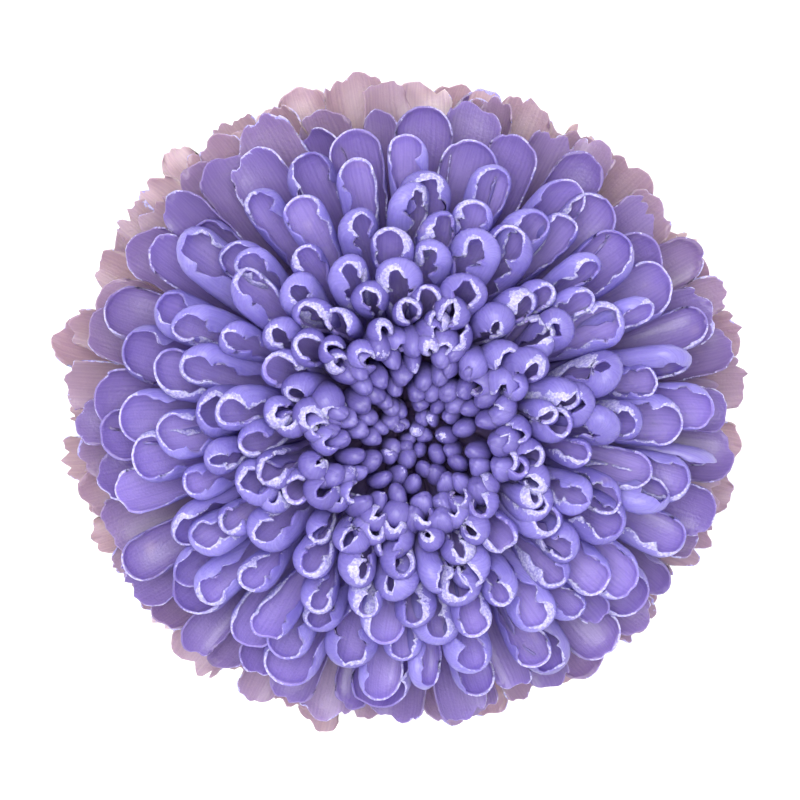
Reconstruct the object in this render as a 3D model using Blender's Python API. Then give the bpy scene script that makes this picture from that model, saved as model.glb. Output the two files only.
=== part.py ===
"""A pompon chrysanthemum: one cut flower head, lying face up on the stub of its stem.

Metres, +Z up. The origin is the middle of the stem's cut end, which stands on the surface.
The florets grow in one spiral: closed and club-shaped in the middle, quilled with a hooded
mouth round the crown, spoon-shaped down the shoulder, and drooping blades in the last rows.
"""

import math
import random

import bmesh
import bpy
from mathutils import Matrix, Vector

MM = 0.001
SEED = 7

# Gap between pieces that grow against each other.
SEAT_GAP = 0.3 * MM

# Stem: a cut stub, ribbed, flat at its end and a little wider where it meets the bracts.
STEM_RADIUS = 2.2 * MM
STEM_TOP_RADIUS = 2.7 * MM
STEM_HEIGHT = 3.5 * MM
STEM_SIDES = 30
STEM_RIBS = 5
STEM_RIB_SHARE = 0.06

# Bracts: a shallow cup of green scales, which overlap from the lowest row up.
CUP_BOTTOM = STEM_HEIGHT + SEAT_GAP
CUP_BOTTOM_RADIUS = 2.8 * MM
CUP_RIM_RADIUS = 7.0 * MM
CUP_HEIGHT = 4.6 * MM
CUP_SIDES = 26
BRACT_THICKNESS = 0.65 * MM
BRACT_ROWS = 3
BRACTS_IN_ROW = 13

# Head: the surface that the tips of the florets reach, a little wider along X.
HEAD_RADIUS = 29.6 * MM
HEAD_OVAL = 0.022
WIDEST_HEIGHT = 9.6 * MM
CROWN_RISE = 19.6 * MM
SKIRT_DROP = 20.0 * MM
LAST_ROW_ANGLE = math.radians(112)
SHOULDER_POWER = 2.6
DIP_DEPTH = 4.2 * MM
DIP_RADIUS = 5.6 * MM

# Receptacle: the small dome that the florets grow from.
RECEPTACLE_RADIUS = 6.8 * MM
RECEPTACLE_BASE = CUP_BOTTOM + CUP_HEIGHT + SEAT_GAP
RECEPTACLE_RISE = 3.4 * MM

# Core: where the florets are packed too close to tell apart.
CORE_SIDES = 20
CORE_RINGS = (104, 90, 74, 58, 42, 28, 16, 7)
CORE_TOP_DEPTH = 2.6 * MM

# Spiral of florets: each turns by the golden angle, and the spacing grows outwards.
GOLDEN_ANGLE = math.pi * (3 - math.sqrt(5))
SPACING_MIDDLE = 1.3 * MM
SPACING_EDGE = 5.9 * MM
SPACING_HALF_RADIUS = 9.5 * MM

# Closed florets reach out to this radius; those beyond it are open.
CLOSED_UNTIL = 7.6 * MM
CLOSED_LENGTH = 2.6 * MM


def eased(value, low, high):
    """0 below low, 1 above high, and a smooth step between them."""
    share = min(1.0, max(0.0, (value - low) / (high - low)))
    return share * share * (3 - 2 * share)


def tip_point(angle):
    """(radius, height) that the floret tips reach at this angle from the head's axis."""
    radius = HEAD_RADIUS * math.sin(angle) ** (2 / SHOULDER_POWER)
    if angle > math.pi / 2:
        return radius, WIDEST_HEIGHT + SKIRT_DROP * math.cos(angle)
    dip = DIP_DEPTH * math.exp(-((radius / DIP_RADIUS) ** 2))
    return radius, WIDEST_HEIGHT + CROWN_RISE * math.cos(angle) - dip


def spacing(radius):
    """Distance between neighbouring tips at this radius."""
    share = radius**2 / (radius**2 + SPACING_HALF_RADIUS**2)
    return SPACING_MIDDLE + (SPACING_EDGE - SPACING_MIDDLE) * share


def tip_angles():
    """Each floret's angle from the axis, from the middle out, with its own share of the surface."""
    steps = 4000
    angles = []
    florets = 0.0
    last = tip_point(0.0)
    for step in range(1, steps + 1):
        angle = LAST_ROW_ANGLE * step / steps
        here = tip_point(angle)
        run = math.hypot(here[0] - last[0], here[1] - last[1])
        florets += 2 * math.pi * here[0] * run / spacing(here[0]) ** 2
        last = here
        if florets >= len(angles) + 0.5:
            angles.append(angle)
    return angles


def tip_incline(angle, radius):
    """Direction of a floret at its tip, from straight up outwards: those round the dip lean in over it."""
    lean_in = math.radians(38) * math.exp(-(((math.degrees(angle) - 7) / 9) ** 2))
    return 1.06 * angle - lean_in * eased(radius, 0.5 * MM, 4 * MM)


def midline(angle, share, wide, tip_shift):
    """Control points, as (radius, height), of the line along a floret from receptacle to tip."""
    radius, height = tip_point(angle)
    tip = (radius * wide + tip_shift, height)
    root = (
        RECEPTACLE_RADIUS * math.sqrt(share),
        RECEPTACLE_BASE + 0.8 * MM + RECEPTACLE_RISE * (1 - share),
    )
    length = math.hypot(tip[0] - root[0], tip[1] - root[1])
    chord = math.atan2(tip[0] - root[0], tip[1] - root[1])
    end = tip_incline(angle, radius)
    start = chord + 0.7 * (chord - end)
    handle = 0.38 * length
    return (
        root,
        (root[0] + handle * math.sin(start), root[1] + handle * math.cos(start)),
        (tip[0] - handle * math.sin(end), tip[1] - handle * math.cos(end)),
        tip,
    )


def bezier(points, t):
    """Point at share t of a cubic Bezier curve."""
    a, b, c, d = points
    u = 1 - t
    return tuple(u**3 * a[k] + 3 * u * u * t * b[k] + 3 * u * t * t * c[k] + t**3 * d[k] for k in (0, 1))


def station(points, t, turn, sideways=0.0):
    """The place at share t of the midline, and the across and inward directions there."""
    here = bezier(points, t)
    back = bezier(points, max(0.0, t - 0.01))
    ahead = bezier(points, min(1.0, t + 0.01))
    run = math.hypot(ahead[0] - back[0], ahead[1] - back[1])
    along = ((ahead[0] - back[0]) / run, (ahead[1] - back[1]) / run)
    around = Matrix.Rotation(turn, 3, "Z")
    place = around @ Vector((here[0], sideways * t, here[1]))
    across = around @ Vector((0, 1, 0))
    inward = around @ Vector((-along[1], 0, along[0]))
    return place, across, inward


def mesh_object(name, made):
    """An object from a bmesh, with its normals facing out."""
    bmesh.ops.recalc_face_normals(made, faces=made.faces)
    mesh = bpy.data.meshes.new(name)
    made.to_mesh(mesh)
    made.free()
    return bpy.data.objects.new(name, mesh)


def loft(name, rings):
    """A closed solid through rings of points, capped at both ends."""
    made = bmesh.new()
    rows = [[made.verts.new(point) for point in ring] for ring in rings]
    sides = len(rows[0])
    for low, high in zip(rows, rows[1:]):
        for k in range(sides):
            made.faces.new((low[k], low[(k + 1) % sides], high[(k + 1) % sides], high[k]))
    made.faces.new(reversed(rows[0]))
    made.faces.new(rows[-1])
    return mesh_object(name, made)


def turned(name, profile, sides, ribs=0, rib_share=0.0):
    """A closed solid of revolution about +Z through (radius, height) points, from its low to its high end."""
    rings = []
    for radius, height in profile:
        ring = []
        for k in range(sides):
            turn = 2 * math.pi * k / sides
            reach = radius * (1 + rib_share * math.cos(ribs * turn))
            ring.append((reach * math.cos(turn), reach * math.sin(turn), height))
        rings.append(ring)
    return loft(name, rings)


def closed_floret(name, points, turn, length, width):
    """A club-shaped floret that hasn't opened: slim below, widest near its rounded tip."""
    stations = ((CLOSED_LENGTH + 0.9 * width, 0.36), (0.45 * width, 0.5), (0.02 * width, 0.24))
    sides = 5
    rings = []
    for behind, radius_share in stations:
        place, across, inward = station(points, 1 - behind / length, turn)
        ring = []
        for k in range(sides):
            corner = 2 * math.pi * (k + 0.5) / sides
            side = math.cos(corner) * across + math.sin(corner) * inward
            ring.append(place + radius_share * width * side)
        rings.append(ring)
    return loft(name, rings)


def open_floret(name, points, turn, length, shape):
    """A quilled, spoon or blade floret. Each section has two rims, two keel points and a trough's floor."""
    width, depth, wall = shape["width"], shape["depth"], shape["wall"]
    # Distance behind the tip, share of the width, lift of the section, and heights of its rims and floor.
    stations = (
        (shape["reach"], shape["claw"], 0.0, 0.8 * depth, 1.15 * depth),
        (0.3 * shape["reach"], 1.0, 0.0, depth, wall),
        (0.0, 0.5, shape["hood"] * depth, 0.8 * depth, wall),
    )
    rings = []
    for behind, share, lift, rim, floor in stations:
        place, across, inward = station(points, 1 - behind / length, turn, shape["sideways"])
        half = 0.5 * width * share
        section = (
            (-half, rim + lift),
            (-0.55 * half, lift),
            (0.55 * half, lift),
            (half, rim + lift),
            (0.0, floor + lift),
        )
        rings.append([place + side * across + up * inward for side, up in section])
    return loft(name, rings)


def floret_shape(angle, radius, length, rng):
    """Width, depth and reach of an open floret, from where its tip is."""
    spoon = eased(radius, 9 * MM, 24 * MM)
    skirt = eased(math.degrees(angle), 62, 98)
    width = spacing(radius) * (0.9 + 0.02 * spoon) * rng.uniform(0.96, 1.04)
    return {
        "width": width,
        "depth": width * (0.62 - 0.2 * spoon - 0.14 * skirt),
        "wall": max(0.7 * MM, 0.2 * width),
        "reach": min((6.2 + 1.2 * spoon + 14 * skirt) * MM, 0.96 * length),
        "claw": 0.42 - 0.12 * skirt,
        "hood": 0.62 * (1 - 0.8 * skirt),
        "sideways": rng.uniform(-0.6, 0.6) * MM * spoon,
    }


def core():
    """The core of the head, turned about +Z and widened like the head."""
    profile = [(RECEPTACLE_RADIUS + 0.4 * MM, RECEPTACLE_BASE)]
    for degrees in CORE_RINGS:
        angle = math.radians(degrees)
        radius, height = tip_point(angle)
        depth = (2.8 + 2.6 * eased(degrees, 8, 60) + 8.4 * eased(degrees, 60, 104)) * MM
        lifted = 3.6 * MM * eased(degrees, 66, 104)
        profile.append((radius - depth * math.sin(angle), height - depth * math.cos(angle) + lifted))
    profile.append((0.6 * MM, tip_point(0.0)[1] - CORE_TOP_DEPTH))
    return turned("florets", profile, CORE_SIDES)


def shells_of(made):
    """The separate shells of faces in a bmesh, smallest first."""
    left = set(made.faces)
    shells = []
    while left:
        shell = [left.pop()]
        for face in shell:
            for edge in face.edges:
                for other in edge.link_faces:
                    if other in left:
                        left.remove(other)
                        shell.append(other)
        shells.append(shell)
    return sorted(shells, key=len)


def united(body, pieces):
    """body with the pieces united into it by one Boolean, its loose scraps and sealed hollows dropped."""
    helpers = bpy.data.collections.new(body.name + "_pieces")
    bpy.context.scene.collection.children.link(helpers)
    bpy.context.scene.collection.objects.link(body)
    for piece in pieces:
        helpers.objects.link(piece)
    union = body.modifiers.new("union", "BOOLEAN")
    union.operation = "UNION"
    union.solver = "EXACT"
    union.operand_type = "COLLECTION"
    union.collection = helpers
    with bpy.context.temp_override(object=body, active_object=body):
        bpy.ops.object.modifier_apply(modifier=union.name)
    for piece in pieces:
        bpy.data.objects.remove(piece)
    bpy.data.collections.remove(helpers)

    made = bmesh.new()
    made.from_mesh(body.data)
    for shell in shells_of(made)[:-1]:
        bmesh.ops.delete(made, geom=shell, context="FACES")
    made.to_mesh(body.data)
    made.free()
    return body


def surface(name, colour, roughness):
    """A plain Principled material."""
    made = bpy.data.materials.new(name)
    made.use_nodes = True
    shader = made.node_tree.nodes["Principled BSDF"]
    shader.inputs["Base Color"].default_value = (*colour, 1)
    shader.inputs["Roughness"].default_value = roughness
    shader.inputs["Metallic"].default_value = 0.0
    return made


def finished(body, material, sharp_from):
    """body with its one material, smooth but for edges sharper than the given angle."""
    body.data.materials.clear()
    body.data.materials.append(material)
    body.data.shade_smooth()
    body.data.set_sharp_from_angle(angle=sharp_from)
    return body


def florets():
    """The head: every floret of the spiral, united with the core."""
    rng = random.Random(SEED)
    pieces = []
    angles = tip_angles()
    for index, angle in enumerate(angles):
        radius = tip_point(angle)[0]
        turn = index * GOLDEN_ANGLE + rng.uniform(-0.03, 0.03)
        wide = 1 + HEAD_OVAL * math.cos(2 * turn) * eased(radius, 8 * MM, 26 * MM)
        tip_shift = rng.uniform(-0.9, 0.9) * MM * eased(math.degrees(angle), 50, 90)
        points = midline(angle, (index + 0.5) / len(angles), wide, tip_shift)
        length = math.hypot(points[3][0] - points[0][0], points[3][1] - points[0][1])
        name = f"floret_{index}"
        if radius < CLOSED_UNTIL:
            width = spacing(radius) * rng.uniform(0.88, 0.96)
            pieces.append(closed_floret(name, points, turn, length, width))
        else:
            shape = floret_shape(angle, radius, length, rng)
            pieces.append(open_floret(name, points, turn, length, shape))
    head = united(core(), pieces)
    return finished(head, surface("florets", (0.21, 0.165, 0.53), 0.45), math.radians(40))


def bract(name, row, turn, rng):
    """One scale of the cup, from its root in the cup's side to its blunt tip under the florets."""
    share = row / (BRACT_ROWS - 1)
    root = (CUP_BOTTOM_RADIUS + 0.2 * MM + 1.9 * MM * share, CUP_BOTTOM + 0.9 * MM + 1.3 * MM * share)
    lift = rng.uniform(-0.1, 0.1) * MM
    tip = (6.9 * MM + 2.5 * MM * share, CUP_BOTTOM + 2.3 * MM + 1.25 * MM * share + lift)
    bulge = (0.45 * root[0] + 0.55 * tip[0], 0.5 * (root[1] + tip[1]) - 0.35 * MM)
    points = (root, bulge, bulge, tip)
    width = 2.5 * MM + 1.0 * MM * share
    rings = []
    for t, width_share in ((0.0, 0.7), (0.4, 1.0), (0.8, 0.8), (1.0, 0.34)):
        place, across, inward = station(points, t, turn)
        half = 0.5 * width * width_share
        bowed = 0.16 * half
        rings.append(
            [
                place - half * across + bowed * inward,
                place,
                place + half * across + bowed * inward,
                place + half * across + (bowed + BRACT_THICKNESS) * inward,
                place + BRACT_THICKNESS * inward,
                place - half * across + (bowed + BRACT_THICKNESS) * inward,
            ]
        )
    return loft(name, rings)


def bracts():
    """The cup of scales that holds the head."""
    rng = random.Random(SEED + 1)
    profile = [
        (CUP_BOTTOM_RADIUS, CUP_BOTTOM),
        (0.62 * CUP_RIM_RADIUS, CUP_BOTTOM + 0.16 * CUP_HEIGHT),
        (0.88 * CUP_RIM_RADIUS, CUP_BOTTOM + 0.44 * CUP_HEIGHT),
        (CUP_RIM_RADIUS, CUP_BOTTOM + 0.86 * CUP_HEIGHT),
        (0.97 * CUP_RIM_RADIUS, CUP_BOTTOM + CUP_HEIGHT),
    ]
    pieces = []
    for row in range(BRACT_ROWS):
        for k in range(BRACTS_IN_ROW):
            turn = 2 * math.pi * (k + 0.5 * (row % 2)) / BRACTS_IN_ROW + rng.uniform(-0.05, 0.05)
            pieces.append(bract(f"bract_{row}_{k}", row, turn, rng))
    cup = united(turned("bracts", profile, CUP_SIDES), pieces)
    return finished(cup, surface("bracts", (0.13, 0.22, 0.05), 0.6), math.radians(40))


def stem():
    """The ribbed stub, flat where it was cut."""
    profile = (
        (STEM_RADIUS, 0.0),
        (STEM_RADIUS, 0.55 * STEM_HEIGHT),
        (STEM_TOP_RADIUS, STEM_HEIGHT),
    )
    body = turned("stem", profile, STEM_SIDES, STEM_RIBS, STEM_RIB_SHARE)
    bpy.context.scene.collection.objects.link(body)
    return finished(body, surface("stem", (0.16, 0.26, 0.06), 0.55), math.radians(50))


def main():
    for old in list(bpy.data.objects):
        bpy.data.objects.remove(old)
    florets()
    bracts()
    stem()


main()
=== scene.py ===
"""The looks of a pompon chrysanthemum head: its florets, bracts and stem, in soft studio light.

Metres, +Z up the flower's axis. Each floret is a thin petal: a flat strip with a rounded and
slightly toothed end, rolled about a midline that rises from the receptacle. How far it rolls makes
it a closed club, a quill with a hooded mouth, a spoon, or a nearly flat blade of the last rows.
"""

import functools
import math

import bpy
import numpy as np
from mathutils import Matrix, Vector

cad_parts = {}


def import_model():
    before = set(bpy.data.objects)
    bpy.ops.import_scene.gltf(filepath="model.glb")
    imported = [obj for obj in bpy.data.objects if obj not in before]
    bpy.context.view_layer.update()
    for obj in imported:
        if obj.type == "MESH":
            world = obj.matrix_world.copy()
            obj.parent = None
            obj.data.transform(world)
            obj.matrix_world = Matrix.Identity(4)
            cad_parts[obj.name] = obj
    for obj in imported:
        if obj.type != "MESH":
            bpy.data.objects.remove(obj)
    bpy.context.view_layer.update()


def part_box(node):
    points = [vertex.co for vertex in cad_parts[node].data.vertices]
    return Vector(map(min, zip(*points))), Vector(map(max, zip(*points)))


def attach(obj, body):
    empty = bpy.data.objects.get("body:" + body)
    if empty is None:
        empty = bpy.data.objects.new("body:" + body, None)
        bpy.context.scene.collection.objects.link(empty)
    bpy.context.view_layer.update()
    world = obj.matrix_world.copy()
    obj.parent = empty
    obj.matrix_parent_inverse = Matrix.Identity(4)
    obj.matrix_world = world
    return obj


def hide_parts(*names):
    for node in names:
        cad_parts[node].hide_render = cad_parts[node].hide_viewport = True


MM = 0.001
FULL_TURN = 2 * math.pi
SEED = 4

# The surface that the tips of the florets reach, as in the CAD, and how it fits the CAD's box.
HEAD_OVAL = 0.022
SHOULDER_POWER = 2.6
WIDEST_HEIGHT = 9.6 * MM
SKIRT_DROP = 20.0 * MM
LAST_ROW_ANGLE = math.radians(112)
DIP_DEPTH = 4.2 * MM
DIP_RADIUS = 5.6 * MM
SIDE_INSET = 0.3 * MM
TOP_OUTSET = 0.2 * MM

# Receptacle that the florets grow from.
RECEPTACLE_RADIUS = 6.8 * MM
RECEPTACLE_BASE = 8.7 * MM
RECEPTACLE_RISE = 9.0 * MM
RECEPTACLE_FOOT = ((0, 8.2), (6.6, 8.2))
RECEPTACLE_SIDES = 48

# Spiral of florets: the tips inside CLOSED_UNTIL are clubs, the others are open.
GOLDEN_ANGLE = math.pi * (3 - math.sqrt(5))
CLOSED_UNTIL = 7.4 * MM

# Objects that the open florets are shared out to: each name goes up to this angle of the tip from the axis.
KINDS = (
    ("quills", 24),
    ("spoons", 47),
    ("wide_spoons", 71),
    ("shoulder_florets", 90),
    ("guard_florets", 180),
)

# How a floret changes with the radius of its tip: each row is one quality at these radii, in mm.
RADII = (0, 3, 6, 8, 10, 14, 18, 22, 26, 28.5)
# Distance between neighbouring tips, in mm, and the floret's width as a share of it.
SPACING = (0.86, 1.3, 1.75, 2.1, 2.5, 3.25, 3.85, 4.2, 4.4, 4.6)
WIDTH_IN_SPACINGS = (1.34, 1.28, 1.2, 1.12, 1.05, 0.98, 0.96, 0.95, 1.0, 1.06)
# How far its end leans outwards from +Z, in degrees.
INCLINE = (0, -36, -50, -30, 4, 34, 50, 62, 76, 90)
# Roll, in degrees: half the angle that the petal goes round at its mouth and at its base, and how far
# its end folds over.
MOUTH_HALF_ANGLE = (158, 158, 158, 158, 157, 155, 152, 144, 120, 70)
BASE_HALF_ANGLE = (172, 172, 172, 172, 172, 170, 168, 160, 140, 105)
HOOD = (80, 80, 80, 138, 138, 132, 124, 110, 90, 54)
# Length of the mouth in half widths, and the depth of the roll: 1 where it is round.
MOUTH_LENGTH = (1.4, 1.4, 1.4, 1.9, 2.6, 3.3, 3.8, 4.6, 6.0, 8.0)
FLATNESS = (1, 1, 1, 0.92, 0.85, 0.74, 0.66, 0.58, 0.52, 0.5)
# Depth of the slit in the end, in widths, and the end's outline: squarer below 1 and more pointed above.
SLIT = (0, 0, 0, 0.55, 0.58, 0.46, 0.2, 0.05, 0, 0)
END_POWER = (1, 1, 1, 0.55, 0.56, 0.62, 0.78, 1, 1, 1)
# Thickness of the blade, and how much thicker the lip is, in mm.
THICKNESS = (0.32, 0.32, 0.32, 0.32, 0.32, 0.3, 0.27, 0.22, 0.2, 0.18)
LIP = (0.16, 0.16, 0.16, 0.16, 0.16, 0.12, 0.08, 0.04, 0.02, 0.0)
# Pale margin, partly the petal's own paler rim and partly a painted highlight: its greatest width outside,
# and how far the pale line stays back from the rim, in mm.
PALE_BAND_AND_SHEEN = (0.3, 0.3, 0.3, 1.5, 2.3, 2.7, 2.6, 2.3, 1.7, 0.9)
RIM_LINE = (0, 0, 0, -0.02, -0.06, -0.12, -0.18, -0.28, -0.36, -0.4)

# Points of a petal from its middle to its side and along it, without the close ones that round its rim, and
# the part of its length that stays hidden at the root and has no points of its own.
SIDE_NODES = 9
ALONG_NODES = 17
RIM_RINGS = (0.36, 0.16, 0.045, 0.0)
PETAL_HIDDEN = 0.25
MIDLINE_HANDLE = 0.38

# Closed florets: rings on the stalk and in all, points in a ring, and the stalk's share of the length.
CLUB_STALK_ROWS = 8
CLUB_ROWS = 17
CLUB_SIDES = 16
CLUB_STALK = 0.82

# Bracts: a shallow cup of scales under the florets, as in the CAD; in mm, for the first and the last row.
CUP_PROFILE = ((0.0, 3.6), (2.8, 3.6), (4.34, 4.54), (6.16, 5.82), (7.0, 7.76), (6.79, 8.5), (0.0, 8.5))
CUP_SIDES = 52
BRACT_ROWS = 3
BRACTS_IN_ROW = 13
BRACT_ROOT_RADIUS = (2.7, 4.8)
BRACT_ROOT_HEIGHT = (3.75, 4.7)
BRACT_TIP_RADIUS = (6.4, 9.2)
BRACT_TIP_HEIGHT = (5.4, 7.5)
BRACT_WIDTH = (2.6, 3.8)
BRACT_START_ANGLE = math.radians(84)
BRACT_END_ANGLE = math.radians(50)
BRACT_GRID = (11, 9)
BRACT_OUTLINE = ((0, 0.35, 0.6, 0.8, 0.92, 1.0), (0.75, 1.0, 0.96, 0.78, 0.52, 0.12))

# Stem, in mm: a ribbed stub, with a soft edge where it was cut.
STEM_PROFILE = (
    (0.0, 0.0),
    (2.0, 0.0),
    (2.15, 0.05),
    (2.2, 0.2),
    (2.2, 1.9),
    (2.35, 2.8),
    (2.7, 3.5),
    (2.7, 3.9),
    (0.0, 3.9),
)
STEM_SIDES = 60
STEM_RIBS = 5
STEM_RIB_SHARE = 0.06
CUT_HEIGHT = 0.1

# Petal colours, linear, by age: 0 for a floret of the middle and 1 for one of the last row. Each step has
# the ages between which its colour takes over.
BUD_COLOUR = (0.20, 0.165, 0.46)
BODY_STEPS = (
    (0.02, 0.17, (0.245, 0.205, 0.57)),
    (0.13, 0.3, (0.295, 0.255, 0.66)),
    (0.36, 0.66, (0.245, 0.198, 0.385)),
    (0.6, 0.96, (0.51, 0.38, 0.40)),
)
# Trough floor: a deeper violet, and in the middle rows lighter than the outer side, painted light against
# the shade in the trough.
FLOOR_VIOLET_AND_PAINTED_LIGHT = (0.46, 0.36, 0.80)
FLOOR_STEPS = ((0.3, 0.55, (0.265, 0.188, 0.445)), (0.58, 0.96, (0.48, 0.345, 0.36)))
# Roots of the tubes: partly their own paler bases, partly painted light in the shaded gaps between florets.
ROOT_PALE_AND_PAINTED_LIGHT = (0.64, 0.44, 0.80)
ROOT_STEPS_AND_PAINTED_LIGHT = ((0.12, 0.36, (0.48, 0.38, 0.86)),)
FADED_COLOURS = ((0.56, 0.40, 0.38), (0.72, 0.62, 0.64))
# Pale rim colours: partly the petal's own paler rim, partly a painted highlight.
PALE_AND_SHEEN_COLOURS = ((0.37, 0.34, 0.69), (0.61, 0.585, 0.85))
WHITE = (1.0, 1.0, 1.0)

# Green parts and the receptacle.
RECEPTACLE_COLOUR = (0.21, 0.12, 0.33)
BRACT_GREENS = ((0.10, 0.17, 0.055), (0.15, 0.22, 0.08), (0.19, 0.25, 0.11))
BRACT_PAPER = (0.50, 0.43, 0.30)
STEM_GREENS = ((0.085, 0.14, 0.045), (0.15, 0.22, 0.08))
STEM_PITH = (0.50, 0.52, 0.30)
STEM_VESSELS = (0.26, 0.33, 0.14)
BUMP_HEIGHT = 0.12 * MM

# Camera: over the head, tipped a little to the top and left of the picture.
VIEW_TIP = math.radians(8)
VIEW_LEAN = math.radians(3.6)
VIEW_TARGET = (-0.3 * MM, 0.7 * MM, 12 * MM)
CAMERA_DISTANCE = 0.36
PICTURE_WIDTH = 71.2 * MM
SENSOR_WIDTH = 36

# Studio: place, size and power of the lights.
KEY_LIGHT = ((-0.14, 0.22, 0.9), 0.7, 14.0)
FILL_LIGHT = ((0.4, -0.45, 0.7), 0.9, 3.0)
WORLD_STRENGTH = 1.1
FLOOR_SIZE = 3.0
FLOOR_WHITE = 0.93


def eased(value, low, high):
    """0 below low, 1 above high, and a smooth step between them."""
    share = np.clip((value - low) / (high - low), 0.0, 1.0)
    return share * share * (3 - 2 * share)


def between(part, ends):
    """The value at this part of the way from the first end to the second."""
    return ends[0] + part * (ends[1] - ends[0])


def at_radius(radius, row):
    """A floret's quality at this tip radius."""
    return float(np.interp(radius / MM, RADII, row))


class Head:
    """The surface that the florets' tips reach, fitted to the CAD's box."""

    def __init__(self):
        low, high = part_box("florets")
        self.radius = 0.5 * (high.y - low.y) / (1 - HEAD_OVAL) - SIDE_INSET
        self.rise = high.z - WIDEST_HEIGHT + TOP_OUTSET

    def tip(self, angle):
        """(radius, height) of a tip at this angle from the axis."""
        radius = self.radius * math.sin(angle) ** (2 / SHOULDER_POWER)
        if angle > math.pi / 2:
            return radius, WIDEST_HEIGHT + SKIRT_DROP * math.cos(angle)
        dip = DIP_DEPTH * math.exp(-((radius / DIP_RADIUS) ** 2))
        return radius, WIDEST_HEIGHT + self.rise * math.cos(angle) - dip

    def tip_angles(self):
        """Each floret's angle from the axis, from the middle out, with its own share of the surface."""
        steps = 6000
        angles = []
        florets_so_far = 0.0
        last = self.tip(0.0)
        for step in range(1, steps + 1):
            angle = LAST_ROW_ANGLE * step / steps
            here = self.tip(angle)
            run = math.hypot(here[0] - last[0], here[1] - last[1])
            florets_so_far += FULL_TURN * here[0] * run / (at_radius(here[0], SPACING) * MM) ** 2
            last = here
            if florets_so_far >= len(angles) + 0.5:
                angles.append(angle)
        return angles


class Patchwork:
    """Collects closed meshes with values at their points into one object."""

    def __init__(self):
        self.points = []
        self.quads = []
        self.triangles = []
        self.values = {}
        self.count = 0

    def add(self, points, quads, triangles, values):
        self.points.append(points)
        self.quads.append(quads + self.count)
        self.triangles.append(triangles + self.count)
        for name, value in values.items():
            spread = np.broadcast_to(np.asarray(value, np.float32), (len(points),))
            self.values.setdefault(name, []).append(spread)
        self.count += len(points)

    def build(self, name):
        points = np.concatenate(self.points)
        quads = np.concatenate(self.quads)
        triangles = np.concatenate(self.triangles)
        corners = np.concatenate([quads.ravel(), triangles.ravel()])
        sizes = np.concatenate([np.full(len(quads), 4), np.full(len(triangles), 3)])
        starts = np.concatenate([[0], np.cumsum(sizes)[:-1]])
        mesh = bpy.data.meshes.new(name)
        mesh.vertices.add(len(points))
        mesh.vertices.foreach_set("co", points.astype(np.float32).ravel())
        mesh.loops.add(len(corners))
        mesh.loops.foreach_set("vertex_index", corners.astype(np.int32))
        mesh.polygons.add(len(sizes))
        mesh.polygons.foreach_set("loop_start", starts.astype(np.int32))
        mesh.polygons.foreach_set("loop_total", sizes.astype(np.int32))
        mesh.update(calc_edges=True)
        for key, parts in self.values.items():
            attribute = mesh.attributes.new(key, "FLOAT", "POINT")
            attribute.data.foreach_set("value", np.concatenate(parts))
        along = np.concatenate(self.values["along"])
        across = np.concatenate(self.values["across"])
        layer = mesh.uv_layers.new(name="UVMap")
        layer.data.foreach_set("uv", np.stack([along, across], 1)[corners].astype(np.float32).ravel())
        mesh.shade_smooth()
        mesh.validate()
        body = bpy.data.objects.new(name, mesh)
        bpy.context.scene.collection.objects.link(body)
        return body


def midline(root, tip, end_angle, start_angle, steps=48):
    """A floret's midline as distance, radius, height and angle from +Z."""
    handle = MIDLINE_HANDLE * math.hypot(tip[0] - root[0], tip[1] - root[1])
    a = np.array(root)
    b = a + handle * np.array([math.sin(start_angle), math.cos(start_angle)])
    d = np.array(tip)
    c = d - handle * np.array([math.sin(end_angle), math.cos(end_angle)])
    t = np.linspace(0, 1, steps)[:, None]
    u = 1 - t
    line = u**3 * a + 3 * u * u * t * b + 3 * u * t * t * c + t**3 * d
    run = np.gradient(line, axis=0)
    angle = np.unwrap(np.arctan2(run[:, 0], run[:, 1]))
    reach = np.concatenate([[0], np.cumsum(np.hypot(*np.diff(line, axis=0).T))])
    return reach, line[:, 0], line[:, 1], angle


def placed(line, x, out, inwards, turn, lean=0.0, roll=0.0):
    """Points at distance x along a midline, set off sideways and towards the axis, turned into place."""
    reach, radius, height, bent = line
    r = np.interp(x, reach, radius)
    z = np.interp(x, reach, height)
    angle = np.interp(x, reach, bent)
    share = x / reach[-1]
    twist = roll * share
    side = out * np.cos(twist) - inwards * np.sin(twist)
    inward = out * np.sin(twist) + inwards * np.cos(twist)
    r = r - inward * np.cos(angle)
    z = z + inward * np.sin(angle)
    side = side + lean * share**2
    return np.stack(
        [r * math.cos(turn) - side * math.sin(turn), r * math.sin(turn) + side * math.cos(turn), z], -1
    )


@functools.cache
def shell_faces(rows, columns):
    """Quads and triangles of a thin shell. Its inner side has points of its own, except along the rim."""
    outer = np.arange(rows * columns).reshape(rows, columns)
    inner = outer.copy()
    free = (rows - 1) * (columns - 2)
    inner[:-1, 1:-1] = rows * columns + np.arange(free).reshape(rows - 1, columns - 2)

    def quads(grid):
        return np.stack([grid[:-1, :-1], grid[:-1, 1:], grid[1:, 1:], grid[1:, :-1]], -1).reshape(-1, 4)

    foot = np.stack([outer[0, 1:-2], inner[0, 1:-2], inner[0, 2:-1], outer[0, 2:-1]], -1)
    foot_ends = np.array([
        [outer[0, 0], inner[0, 1], outer[0, 1]],
        [outer[0, -2], inner[0, -2], outer[0, -1]],
    ])
    return np.concatenate([quads(outer), quads(inner)[:, ::-1], foot]), foot_ends


def two_sided(outer, inner=None):
    """A row for every point of a thin shell, as shell_faces counts them, from grids for its two sides."""
    inner = outer if inner is None else inner
    size = outer.shape[2:]
    return np.concatenate([outer.reshape(-1, *size), inner[:-1, 1:-1].reshape(-1, *size)])


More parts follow.
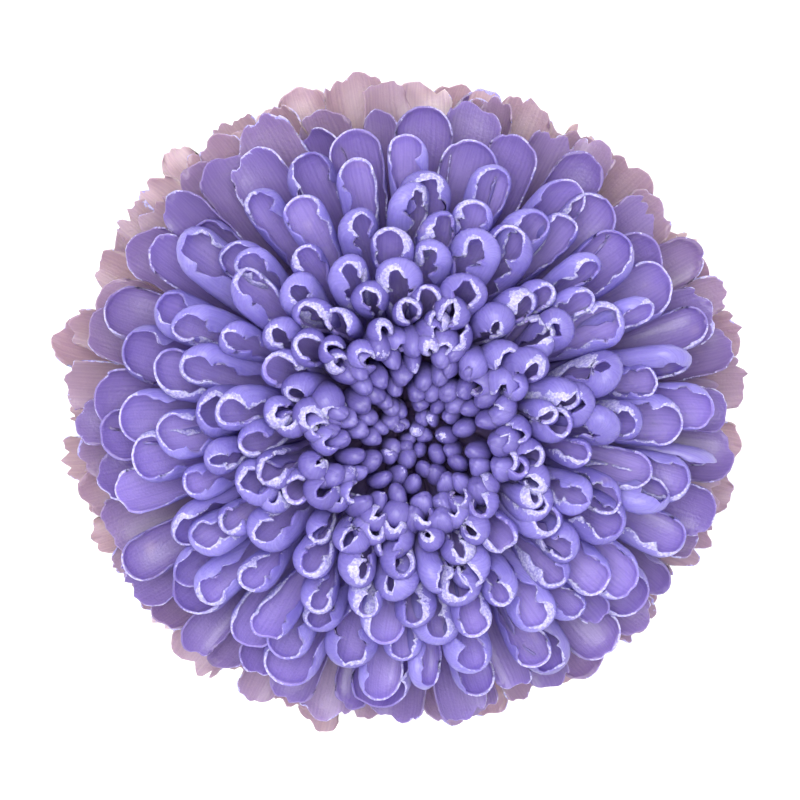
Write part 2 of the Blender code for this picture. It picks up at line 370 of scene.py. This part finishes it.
def ring_faces(count, sides):
    """Quads of a tube of rings, and triangles that close it with a point after the rings at each end."""
    grid = np.arange(count * sides).reshape(count, sides)
    following = np.roll(grid, -1, 1)
    quads = np.stack([grid[:-1], following[:-1], following[1:], grid[1:]], -1).reshape(-1, 4)
    bottom = np.stack([following[0], grid[0], np.full(sides, grid.size)], -1)
    top = np.stack([grid[-1], following[-1], np.full(sides, grid.size + 1)], -1)
    return quads, np.concatenate([bottom, top])


def rim_spaced(inner_count, rim, length):
    """Positions from 0 to 1 that crowd up to 1 so that a rim of this size is rounded."""
    rings = 1 - np.array(RIM_RINGS) * rim / length * 2
    return np.concatenate([np.linspace(0, rings[0], inner_count, endpoint=False), rings])


def bowl(x, y, start, radius, flat):
    """Rolls a flat strip into a tube up to start and a round bowl beyond: along, sideways and inwards."""
    ahead = np.maximum(x - start, 0)
    away = np.hypot(ahead, y)
    turned = away / radius
    share = np.where(away > 1e-9, ahead / np.maximum(away, 1e-9), 0)
    side_share = np.where(away > 1e-9, y / np.maximum(away, 1e-9), 0)
    along = np.minimum(x, start) + radius * np.sin(turned) * share
    return along, radius * np.sin(turned) * side_share, flat * radius * (1 - np.cos(turned))


def waves(place, parts):
    """The sum of a few sine waves; each is (size, count, phase)."""
    return sum(size * np.sin(count * math.pi * place + phase) for size, count, phase in parts)


def random_waves(rng, size, counts):
    """Waves of about this size, one for each count."""
    return [
        (size * rng.uniform(0.4, 1.0), count * rng.uniform(0.8, 1.2), rng.uniform(0, FULL_TURN))
        for count in counts
    ]


def thickened(points, edge, share, shape):
    """Both sides of a grid of points: rounded at the rim, with a lip a little thicker than the blade."""
    normal = np.cross(np.gradient(points, axis=1), np.gradient(points, axis=0))
    normal /= np.linalg.norm(normal, axis=-1, keepdims=True) + 1e-12
    lip_share = np.exp(-((edge / (1.5 * shape["rim"])) ** 2)) * eased(share, 0.4, 0.75)
    half_thickness = 0.5 * (shape["thickness"] + shape["lip"] * lip_share)
    rounding = np.sqrt(np.clip(1 - (1 - np.minimum(edge / half_thickness, 1)) ** 2, 0, 1))
    offset = (half_thickness * rounding)[..., None] * normal
    return points + offset, points - offset


def pale_band_and_sheen(around, edge, fade, shape):
    """How far each point lies inside the pale margin, in mm: broad on one side, a line elsewhere. The
    margin is partly the petal's own paler rim and partly a painted highlight.
    """
    facing = np.clip(np.cos(0.5 * math.pi * np.clip(around - shape["pale_and_sheen_side"], -1.4, 1.4)), 0, 1)
    line_share = (shape["rim_line"] - 0.06) * fade - edge / MM - 0.6 * (1 - fade)
    return two_sided(line_share + shape["margin"] * facing**2 * fade, line_share - 0.04 * fade)


def petal(line, shape, turn, lean, roll):
    """One open floret: points, quads, triangles and values."""
    blade = 0.5 * shape["width"] / (math.sin(shape["mouth"]) if shape["mouth"] < math.pi / 2 else 1)
    start = line[0][-1] - blade * math.sin(min(shape["hood"], math.pi / 2))
    flat_half = blade * shape["mouth"]
    tip_length = blade * shape["hood"]
    total = start + tip_length

    # The grid: t from side to side, -1 to 1, and s along the petal, 0 to 1.
    half = rim_spaced(SIDE_NODES, shape["rim"], flat_half)
    seen = 1 - shape["hidden"]
    rows = shape["hidden"] + seen * rim_spaced(ALONG_NODES, shape["rim"], total * seen)
    t, s = np.meshgrid(np.concatenate([-half[:0:-1], half]), np.concatenate([[0.0], rows]))

    # The rows of points bend from straight across to the round of the end.
    bend = eased(s, 1 - 1.7 * tip_length / total, 1.0)
    arc = t * math.pi / 2
    x = s * start + bend * tip_length * np.cos(arc) ** shape["point"] + (1 - bend) * s * tip_length
    notch = sum(depth * np.exp(-(((t - place) / size) ** 2)) for place, depth, size in shape["notches"])
    x = x - (notch + blade * waves(t, shape["teeth"])) * bend**3
    share = np.clip(x / total, 0, 1)
    in_blades = share * total / blade

    # The strip's width and its roll: a narrow tube that widens and opens towards the mouth.
    mouth_start = max(start - shape["mouth_length"] * blade, 0.05 * start)
    widening = eased(x, max(mouth_start - 0.8 * blade, 0), start - 0.1 * blade)
    radius = blade * between(widening, (shape["claw"], 1))
    opened = np.clip((x - mouth_start) / (start - mouth_start), 0, 1)
    opening = between(opened, (shape["base"], shape["mouth"]))
    fringe = 1 + waves(in_blades, shape["fringe"]) * t**2 * np.sign(t + 0.3)
    y = radius * opening * ((1 - bend) * t + bend * np.sin(arc)) * fringe
    y = y + radius * shape["uneven"] * eased(share, 0.3, 0.9) * (1 - t * t)
    along, out, up = bowl(x, y, start, radius, shape["flat"])
    ripple = blade * t**2 * waves(in_blades + 0.4 * t, shape["ripple"])
    points = placed(line, along, out, up + ripple * eased(share, 0.4, 0.9), turn, lean, roll)

    edge = np.minimum((1 - np.abs(t)) * flat_half, (1 - s) * total)
    outer, inner = thickened(points, edge, share, shape)
    around = np.where(bend > 0.5, t, np.sign(t) * (1 + 0.6 * (1 - share)))
    fade = eased(x, between(0.15, (mouth_start, start)), between(0.6, (mouth_start, start)))
    side = np.zeros_like(t)
    side[-1, :] = side[:, 0] = side[:, -1] = 0.5
    values = {
        "along": two_sided(x / MM * 0.1),
        "across": two_sided(y / MM * 0.1),
        "margin": pale_band_and_sheen(around, edge, fade, shape),
        "share": two_sided(share),
        "inner": two_sided(side, np.ones_like(t)),
    }
    return two_sided(outer, inner), *shell_faces(*t.shape), values


def club(line, width, turn, lean, rng):
    """A closed floret: a slim stalk that swells to a blunt, faintly lobed and dimpled end."""
    total = line[0][-1]
    stalk = np.linspace(0, CLUB_STALK, CLUB_STALK_ROWS, endpoint=False)
    end = CLUB_STALK + (1 - CLUB_STALK) * np.sin(np.linspace(0, math.pi / 2, CLUB_ROWS - CLUB_STALK_ROWS))
    s = np.concatenate([stalk, end])
    cap = rng.uniform(0.7, 1.1) * width
    over = np.clip((s * total - (total - cap)) / cap, 0, 1)
    radius = 0.5 * width * between(eased(s, 0.25, 0.86), (0.72, 1))
    radius = radius * np.sqrt(np.clip(1 - over ** rng.uniform(1.5, 2.8), 0, 1))
    a, r = np.meshgrid(np.linspace(0, FULL_TURN, CLUB_SIDES, endpoint=False), radius)
    x = np.repeat((s * total)[:, None], CLUB_SIDES, 1)
    lobes = rng.integers(2, 4)
    phase = rng.uniform(0, FULL_TURN)
    near_tip = eased(x, total - 1.6 * width, total - 0.2 * width)
    r = r * (1 + 0.13 * near_tip * np.cos(lobes * a + phase))
    dimple = 0.5 + 0.5 * np.cos(lobes * a + phase + 1.1)
    x = x - 0.1 * width * near_tip * dimple * (1 - r / (0.5 * width))
    flat = rng.uniform(0.76, 1.0)
    rings = placed(line, x, r * np.cos(a), flat * r * np.sin(a), turn, lean, 0.5 * (phase - math.pi))
    root = placed(line, np.zeros(1), np.zeros(1), np.zeros(1), turn, lean)
    points = np.concatenate([rings[:-1].reshape(-1, 3), root, rings[-1].mean(0, keepdims=True)])
    share = np.append((x[:-1] / total).ravel(), [0.0, 1.0])
    values = {
        "along": share * total / MM * 0.1,
        "across": np.append((a[:-1] * width / MM * 0.05).ravel(), [0.0, 0.0]),
        # Some buds get a pale tip: a painted glint.
        "margin": rng.uniform(-1.3, 0.2) + (share - 1) * total / MM,
        "share": share,
        "inner": 0.0,
    }
    return points, *ring_faces(CLUB_ROWS - 1, CLUB_SIDES), values


def notches(radius, width, outward, guard, rng):
    """Cuts in the end of an open floret: place across, depth and size across of each."""
    ragged = (0.08 + 0.02 * outward + 0.04 * guard) * width
    cuts = [
        (rng.uniform(-0.45, -0.2), ragged * rng.uniform(0.2, 1.8), rng.uniform(0.07, 0.16)),
        (rng.uniform(0.2, 0.45), ragged * rng.uniform(0.2, 1.8), rng.uniform(0.07, 0.16)),
    ]
    slit = at_radius(radius, SLIT) * width * rng.uniform(0.5, 1.2)
    cuts.append((rng.normal(0, 0.05), slit, rng.uniform(0.13, 0.28)))
    if rng.random() < 0.35 + 0.3 * guard:
        cuts.append((rng.uniform(-0.1, 0.1), ragged * rng.uniform(0.5, 2.2), rng.uniform(0.07, 0.16)))
    return cuts


def floret_shape(radius, guard, spacing, rng):
    """An open floret's sizes and angles from where its tip is; guard is 1 in the last rows."""
    width = spacing * at_radius(radius, WIDTH_IN_SPACINGS) * rng.uniform(0.76 - 0.06 * guard, 1.18)
    openness = rng.normal(0, 1)
    mouth = at_radius(radius, MOUTH_HALF_ANGLE) - 9 * openness + rng.normal(0, 5)
    mouth = min(mouth, 166) - 14 * guard
    hood = at_radius(radius, HOOD) - (14 + 6 * guard) * openness + rng.normal(0, 8) - 8 * guard
    base = max(at_radius(radius, BASE_HALF_ANGLE), mouth) - 20 * guard
    outward = eased(radius, 13 * MM, 24 * MM)
    thickness = at_radius(radius, THICKNESS) * MM
    lip = at_radius(radius, LIP) * MM
    return {
        "width": width,
        "mouth": math.radians(max(mouth, 24)),
        "hood": math.radians(max(hood, 24)),
        "base": math.radians(min(base, 168)),
        "notches": notches(radius, width, outward, guard, rng),
        "thickness": thickness,
        "lip": lip * rng.uniform(0.6, 1.3),
        "rim": thickness + 0.5 * lip,
        "flat": at_radius(radius, FLATNESS) * rng.uniform(0.9, 1.08),
        "claw": 0.55 - 0.25 * eased(radius, 10 * MM, 20 * MM),
        "mouth_length": at_radius(radius, MOUTH_LENGTH) * rng.uniform(0.8, 1.25),
        "hidden": PETAL_HIDDEN * (1 - guard),
        "point": at_radius(radius, END_POWER) + 0.35 * (rng.random() - 0.35) * (1 + outward),
        "teeth": [
            *random_waves(rng, 0.04 + 0.03 * guard, (1.6, 3.1)),
            *random_waves(rng, 0.025 - 0.01 * guard, (6,)),
        ],
        "uneven": rng.normal(0, 0.16),
        "fringe": [
            *random_waves(rng, 0.05 + 0.05 * outward, (0.5, 1.3)),
            *random_waves(rng, 0.03, (2.6,)),
        ],
        "ripple": random_waves(rng, 0.06 + 0.07 * guard, (0.7, 1.7)),
        # The pale band at the rim, its side and its line: partly a paler rim, partly a painted highlight.
        "margin": at_radius(radius, PALE_BAND_AND_SHEEN) * rng.uniform(0.3, 1.0),
        "pale_and_sheen_side": rng.choice((-1.0, 1.0)) * rng.uniform(0.1, 1.1),
        "rim_line": at_radius(radius, RIM_LINE) * rng.uniform(0.0, 1.4),
    }


def floret(head, index, angle, share, rng):
    """One floret of the spiral: the name of its kind, and its points, quads, triangles and values."""
    radius, height = head.tip(angle)
    degrees = math.degrees(angle)
    closed = radius < CLOSED_UNTIL
    guard = eased(degrees, 66, 100)
    spacing = at_radius(radius, SPACING) * MM
    turn = index * GOLDEN_ANGLE + rng.normal(0, 0.2) * spacing / max(radius, spacing)
    wide = 1 + HEAD_OVAL * math.cos(2 * turn) * eased(radius, 8 * MM, 26 * MM)
    incline = at_radius(radius, INCLINE)
    if degrees > 80:  # the last rows bend past the horizontal
        incline = max(incline, 84) + 0.85 * (degrees - 80)
    incline = math.radians(incline + rng.normal(0, 3 + 2 * guard + 5 * closed))
    shift = rng.uniform(-1.0, 0.8) * MM * guard
    lift = float(np.clip(rng.normal(-0.02, 0.13), -0.32, 0.2)) * spacing
    tip = (radius * wide + shift + lift * math.sin(angle), height + lift * math.cos(angle))
    root = (RECEPTACLE_RADIUS * math.sqrt(share), RECEPTACLE_BASE + RECEPTACLE_RISE * (1 - share))
    chord = math.atan2(tip[0] - root[0], tip[1] - root[1])
    line = midline(root, tip, incline, chord + 0.7 * (chord - incline))
    lean = rng.normal(0, 0.15) * spacing
    roll = rng.normal(0, math.radians(28 - 12 * guard))
    looks = {
        "tone": rng.random(),
        "age": float(np.clip(0.5 * radius / head.radius + 0.5 * eased(degrees, 50, 100), 0, 1)),
        "faded": rng.uniform(0.3, 1.0) if rng.random() < 0.4 * eased(degrees, 82, 104) else 0.0,
    }
    if closed:
        width = spacing * at_radius(radius, WIDTH_IN_SPACINGS) * rng.uniform(0.92, 1.2)
        *body, values = club(line, width, turn, lean, rng)
        return "buds", *body, {**values, **looks}
    *body, values = petal(line, floret_shape(radius, guard, spacing, rng), turn, lean, roll)
    return next(kind for kind, limit in KINDS if degrees < limit), *body, {**values, **looks}


def florets():
    """Every floret of the spiral, in a few objects by kind."""
    rng = np.random.default_rng(SEED)
    head = Head()
    kinds = {name: Patchwork() for name in ("buds", *(kind for kind, _ in KINDS))}
    angles = head.tip_angles()
    for index, angle in enumerate(angles):
        kind, *body = floret(head, index, angle, (index + 0.5) / len(angles), rng)
        kinds[kind].add(*body)
    return [patchwork.build(name) for name, patchwork in kinds.items()]


def turned_piece(patchwork, profile, swell, **values):
    """A closed body turned about +Z from (radius, height) pairs in mm, the first and last on the axis.

    Swell is what the radius is multiplied by at each side.
    """
    sides = len(swell)
    radius, height = np.array(profile[1:-1]).T * MM
    a = np.linspace(0, FULL_TURN, sides, endpoint=False)
    rings = np.stack(
        [
            np.outer(radius, np.cos(a) * swell),
            np.outer(radius, np.sin(a) * swell),
            np.repeat(height[:, None], sides, 1),
        ],
        -1,
    )
    ends = np.array([[0, 0, profile[0][1] * MM], [0, 0, profile[-1][1] * MM]])
    points = np.concatenate([rings.reshape(-1, 3), ends])
    patchwork.add(points, *ring_faces(len(radius), sides), values)


def receptacle():
    """The dome that the florets grow from."""
    dome = Patchwork()
    radius, base, rise = (value / MM for value in (RECEPTACLE_RADIUS, RECEPTACLE_BASE, RECEPTACLE_RISE))
    curve = [(radius * math.sqrt(share), base + rise * (1 - share)) for share in np.linspace(1, 0, 9)]
    turned_piece(dome, [*RECEPTACLE_FOOT, *curve], np.ones(RECEPTACLE_SIDES), along=0.0, across=0.0)
    return dome.build("receptacle")


def bracts():
    """Rows of overlapping scales on a shallow cup."""
    rng = np.random.default_rng(SEED + 1)
    scales = Patchwork()
    turned_piece(scales, CUP_PROFILE, np.ones(CUP_SIDES), along=0.0, across=0.0, margin=-0.5, tone=0.3)
    rows, columns = BRACT_GRID
    t, s = np.meshgrid(np.linspace(-1, 1, columns), np.linspace(0, 1, rows))
    outline = np.interp(s, *BRACT_OUTLINE)
    thickness = (0.5 - 0.32 * s) * MM * np.sqrt(np.clip(1 - 0.9 * t * t, 0, 1))
    edge = np.maximum(np.abs(t) - 0.78, (s - 0.86) * 1.6) * 1.6
    for row in range(BRACT_ROWS):
        part = row / (BRACT_ROWS - 1)
        root = (between(part, BRACT_ROOT_RADIUS) * MM, between(part, BRACT_ROOT_HEIGHT) * MM)
        for k in range(BRACTS_IN_ROW):
            tip = (
                (between(part, BRACT_TIP_RADIUS) + rng.uniform(-0.3, 0.1)) * MM,
                (between(part, BRACT_TIP_HEIGHT) + rng.uniform(-0.1, 0.15)) * MM,
            )
            turn = FULL_TURN * (k + 0.5 * (row % 2)) / BRACTS_IN_ROW + rng.uniform(-0.05, 0.05)
            line = midline(root, tip, BRACT_END_ANGLE, BRACT_START_ANGLE)
            width = between(part, BRACT_WIDTH) * MM * rng.uniform(0.95, 1.1)
            out = 0.5 * width * outline * t
            up = 0.16 * width * t * t * outline + 0.05 * MM * np.sin(9 * s + 4 * t) * s
            x = s * line[0][-1]
            outer, inner = (placed(line, x, out, level, turn) for level in (up, up + thickness))
            values = {
                "along": two_sided(s * 0.5),
                "across": two_sided(out / MM * 0.1),
                "margin": two_sided(edge),
                "tone": rng.random(),
            }
            scales.add(two_sided(outer, inner), *shell_faces(rows, columns), values)
    return scales.build("bract_scales")


def stem():
    """The stub of the stem, flat where it was cut; tone marks its ribs, and margin its cut end."""
    stub = Patchwork()
    ribs = np.cos(STEM_RIBS * np.linspace(0, FULL_TURN, STEM_SIDES, endpoint=False))
    rings = STEM_PROFILE[1:-1]
    radius, height = np.repeat(rings, STEM_SIDES, 0).T
    turned_piece(
        stub,
        STEM_PROFILE,
        1 + STEM_RIB_SHARE * ribs,
        along=0.0,
        across=np.append(radius * 0.1, [0.0, 0.0]),
        margin=np.append(height < CUT_HEIGHT, [1.0, 0.0]),
        tone=np.append(np.tile(0.5 + 0.5 * ribs, len(rings)), [0.5, 0.5]),
    )
    return stub.build("stem_stub")


class Shading:
    """A new material and short ways to fill its node tree. Inputs are sockets, numbers or colours."""

    def __init__(self, name):
        self.material = bpy.data.materials.new(name)
        self.material.use_nodes = True
        self.tree = self.material.node_tree
        self.shader = self.tree.nodes["Principled BSDF"]

    def feed(self, socket, value):
        if isinstance(value, bpy.types.NodeSocket):
            self.tree.links.new(value, socket)
        elif isinstance(value, tuple) and socket.type == "RGBA":
            socket.default_value = (*value, 1)
        else:
            socket.default_value = value

    def add(self, kind, settings=None, **inputs):
        """A new node, with its settings and the inputs that are named."""
        node = self.tree.nodes.new(kind)
        for key, value in (settings or {}).items():
            setattr(node, key, value)
        for key, value in inputs.items():
            self.feed(node.inputs[key.replace("_", " ")], value)
        return node

    def shade(self, **inputs):
        """Sets the shader's inputs."""
        for key, value in inputs.items():
            self.feed(self.shader.inputs[key.replace("_", " ")], value)

    def attribute(self, name):
        return self.add("ShaderNodeAttribute", {"attribute_name": name}).outputs["Fac"]

    def place(self):
        return self.add("ShaderNodeTexCoord").outputs["Object"]

    def lengthwise(self, scale):
        """The place on the petal's or scale's own surface, stretched along it."""
        surface = self.add("ShaderNodeUVMap", {"uv_map": "UVMap"}).outputs["UV"]
        return self.add("ShaderNodeMapping", Vector=surface, Scale=scale).outputs["Vector"]

    def noise(self, place, scale, detail, **inputs):
        node = self.add("ShaderNodeTexNoise", Vector=place, Scale=scale, Detail=detail, **inputs)
        return node.outputs["Fac"]

    def math(self, operation, first, second):
        node = self.add("ShaderNodeMath", {"operation": operation})
        self.feed(node.inputs[0], first)
        self.feed(node.inputs[1], second)
        return node.outputs[0]

    def ramp(self, value, low, high):
        """0 to 1 as value goes from low to high, smoothly."""
        node = self.add("ShaderNodeMapRange", {"interpolation_type": "SMOOTHSTEP"}, Value=value)
        self.feed(node.inputs["From Min"], low)
        self.feed(node.inputs["From Max"], high)
        return node.outputs["Result"]

    def mixed(self, factor, first, second, blend="MIX"):
        """The colour between first and second."""
        mix = self.add("ShaderNodeMix", {"data_type": "RGBA", "blend_type": blend})
        for index, value in ((0, factor), (6, first), (7, second)):
            self.feed(mix.inputs[index], value)
        return mix.outputs[2]

    def multiplied(self, first, second):
        """The product of two colours."""
        return self.mixed(1.0, first, second, "MULTIPLY")

    def stepped(self, value, first, steps):
        """Colours that follow each other as value grows: first, then each step's (from, to, colour)."""
        colour = first
        for low, high, later in steps:
            colour = self.mixed(self.ramp(value, low, high), colour, later)
        return colour

    def bumped(self, height, strength):
        """Raises the surface by this height."""
        bump = self.add("ShaderNodeBump", Strength=strength, Distance=BUMP_HEIGHT, Height=height)
        self.shade(Normal=bump.outputs["Normal"])


def petal_material():
    """Violet-blue petal: pale rims in patches that are partly painted highlights, fine veins, mauve and
    thin towards the last rows.
    """
    petal = Shading("petal")
    age, tone, margin, inner, share, faded = map(
        petal.attribute, ("age", "tone", "margin", "inner", "share", "faded")
    )
    place = petal.place()
    patches = petal.noise(place, 2000, 5, Roughness=0.62)
    stretches = petal.noise(place, 330, 1)
    cells = petal.noise(place, 4200, 2)
    streaks = petal.noise(petal.lengthwise((1.2, 26.0, 1.0)), 1.6, 3)

    # The tubes are paler towards their roots, except in the middle: partly their own paler bases, partly
    # painted light that lifts the shade in the gaps between florets. Each floret has a tone of its own.
    body = petal.stepped(age, BUD_COLOUR, BODY_STEPS)
    body = petal.multiplied(body, petal.mixed(tone, (0.84, 0.82, 0.88), WHITE))
    root = petal.math("SUBTRACT", 1.0, petal.ramp(share, 0.3, 0.8))
    body = petal.mixed(petal.math("MULTIPLY", root, 0.7), body, petal.stepped(age, ROOT_PALE_AND_PAINTED_LIGHT, ROOT_STEPS_AND_PAINTED_LIGHT))
    own_tone = petal.mixed(petal.ramp(tone, 0.0, 1.0), (0.86, 0.84, 0.9), WHITE)
    body = petal.multiplied(body, own_tone)

    # The floor of the trough is a deeper violet than the outer side, and mauve in the last rows. In the
    # middle rows it is also lighter than the outer side: painted light that lifts the shade in the trough.
    floor = petal.multiplied(petal.stepped(age, FLOOR_VIOLET_AND_PAINTED_LIGHT, FLOOR_STEPS), own_tone)
    colour = petal.mixed(petal.math("MULTIPLY", inner, 0.8), body, floor)

    # A few of the last rows have faded to tan or cream, in blotches.
    broken = petal.math("MULTIPLY", petal.math("SUBTRACT", stretches, 0.5), 2.4)
    blotches = petal.math("ADD", faded, petal.math("MULTIPLY", broken, 0.6))
    colour = petal.mixed(petal.ramp(blotches, 0.25, 0.9), colour, petal.mixed(tone, *FADED_COLOURS))

    # Pale grainy margins with a ragged border: partly the petal's own paler rim, partly painted highlights
    # on one side of each lip.
    ragged = petal.math("MULTIPLY", petal.math("SUBTRACT", patches, 0.5), 2.2)
    edge = petal.math("ADD", petal.math("ADD", margin, ragged), broken)
    pale_and_sheen_grain = petal.mixed(petal.ramp(cells, 0.38, 0.62), *PALE_AND_SHEEN_COLOURS)
    colour = petal.mixed(petal.ramp(edge, -0.03, 0.06), colour, pale_and_sheen_grain)

    # Veins: streaks along the petal.
    veins = petal.mixed(petal.ramp(streaks, 0.35, 0.65), (0.88, 0.86, 0.92), WHITE)
    colour = petal.multiplied(colour, veins)
    petal.bumped(petal.math("ADD", petal.math("MULTIPLY", streaks, 0.8), cells), 0.5)
    petal.shade(
        Base_Color=colour,
        Roughness=0.42,
        Subsurface_Weight=0.4,
        Subsurface_Radius=(0.6, 0.45, 1.0),
        Subsurface_Scale=0.9 * MM,
        Coat_Weight=0.35,
        Coat_Roughness=0.22,
    )

    # Light comes through, most of all through the thin last rows.
    through = petal.add("ShaderNodeBsdfTranslucent", Color=colour)
    thin = petal.math("ADD", petal.math("MULTIPLY", petal.ramp(age, 0.3, 1.0), 0.1), 0.38)
    blend = petal.add("ShaderNodeMixShader")
    for socket, value in zip(blend.inputs, (thin, petal.shader.outputs["BSDF"], through.outputs["BSDF"])):
        petal.feed(socket, value)
    petal.feed(petal.tree.nodes["Material Output"].inputs["Surface"], blend.outputs[0])
    return petal.material


def plant_material(name, roughness, colour_of):
    """A material with fine cells; colour_of gives its colour, from its nodes or as it is."""
    plant = Shading(name)
    plant.shade(
        Base_Color=colour_of(plant),
        Roughness=roughness,
        Subsurface_Weight=0.15,
        Subsurface_Scale=0.6 * MM,
    )
    plant.bumped(plant.noise(plant.place(), 2600, 3), 0.35)
    return plant.material


def bract_colour(bract):
    """Green along the middle of a scale, with fine stripes, and papery towards its margin and tip."""
    stripes = bract.noise(bract.lengthwise((1.0, 22.0, 1.0)), 2.0, 3)
    darkest, green, lightest = BRACT_GREENS
    green = bract.mixed(bract.attribute("tone"), darkest, green)
    green = bract.mixed(bract.ramp(stripes, 0.35, 0.7), green, lightest)
    edge = bract.math("ADD", bract.attribute("margin"), bract.math("MULTIPLY", stripes, 0.3))
    return bract.mixed(bract.ramp(edge, 0.05, 0.32), green, BRACT_PAPER)


def stem_colour(stub):
    """Green skin with pale ribs, and a pale cut end with a ring of vessels."""
    radius = stub.attribute("across")
    skin = stub.mixed(stub.ramp(stub.attribute("tone"), 0.2, 0.9), *STEM_GREENS)
    inside = stub.math("SUBTRACT", 1.0, stub.ramp(radius, 0.17, 0.2))
    ring = stub.math("MULTIPLY", stub.ramp(radius, 0.10, 0.15), inside)
    cut = stub.mixed(ring, STEM_PITH, STEM_VESSELS)
    return stub.mixed(stub.ramp(stub.attribute("margin"), 0.3, 0.7), skin, cut)


def camera():
    """Looks down on the head, with +Y at the top of the picture."""
    data = bpy.data.cameras.new("camera")
    data.sensor_width = SENSOR_WIDTH
    data.lens = SENSOR_WIDTH * CAMERA_DISTANCE / PICTURE_WIDTH
    data.clip_start = 0.01
    towards = Vector((-math.sin(VIEW_LEAN), math.sin(VIEW_TIP), 0))
    towards.z = math.sqrt(1 - towards.length_squared)
    right = Vector((0, 1, 0)).cross(towards).normalized()
    turned = Matrix((right, towards.cross(right), towards)).transposed().to_4x4()
    body = bpy.data.objects.new("camera", data)
    body.matrix_world = Matrix.Translation(Vector(VIEW_TARGET) + CAMERA_DISTANCE * towards) @ turned
    bpy.context.scene.collection.objects.link(body)
    bpy.context.scene.camera = body


def area_light(name, place, size, power):
    """A square light that faces the origin."""
    data = bpy.data.lights.new(name, "AREA")
    data.size = size
    data.energy = power
    body = bpy.data.objects.new(name, data)
    body.location = place
    body.rotation_euler = (-Vector(place)).to_track_quat("-Z", "Y").to_euler()
    bpy.context.scene.collection.objects.link(body)


def studio():
    """A plain pale floor, one large soft light above and a weaker one to the side."""
    mesh = bpy.data.meshes.new("floor")
    corners = [(x * FLOOR_SIZE, y * FLOOR_SIZE, 0) for x, y in ((-1, -1), (1, -1), (1, 1), (-1, 1))]
    mesh.from_pydata(corners, [], [(0, 1, 2, 3)])
    floor = bpy.data.objects.new("floor", mesh)
    bpy.context.scene.collection.objects.link(floor)
    paper = Shading("floor")
    paper.shade(Base_Color=(FLOOR_WHITE, FLOOR_WHITE, FLOOR_WHITE), Roughness=0.9)
    mesh.materials.append(paper.material)
    area_light("key", *KEY_LIGHT)
    area_light("fill", *FILL_LIGHT)
    world = bpy.data.worlds.new("world")
    world.use_nodes = True
    background = world.node_tree.nodes["Background"]
    background.inputs["Color"].default_value = (*WHITE, 1)
    background.inputs["Strength"].default_value = WORLD_STRENGTH
    bpy.context.scene.world = world
    bpy.context.scene.view_settings.view_transform = "Standard"
    bpy.context.scene.view_settings.look = "None"


def dress(piece, material, node):
    """Puts a piece of the scene in the place of this node of the CAD."""
    piece.data.materials.append(material)
    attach(piece, "root")
    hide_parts(node)


def main():
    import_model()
    petals = petal_material()
    for piece in florets():
        dress(piece, petals, "florets")
    dress(receptacle(), plant_material("receptacle", 0.7, lambda _: RECEPTACLE_COLOUR), "florets")
    dress(bracts(), plant_material("bracts", 0.6, bract_colour), "bracts")
    dress(stem(), plant_material("stem", 0.55, stem_colour), "stem")
    camera()
    studio()


main()
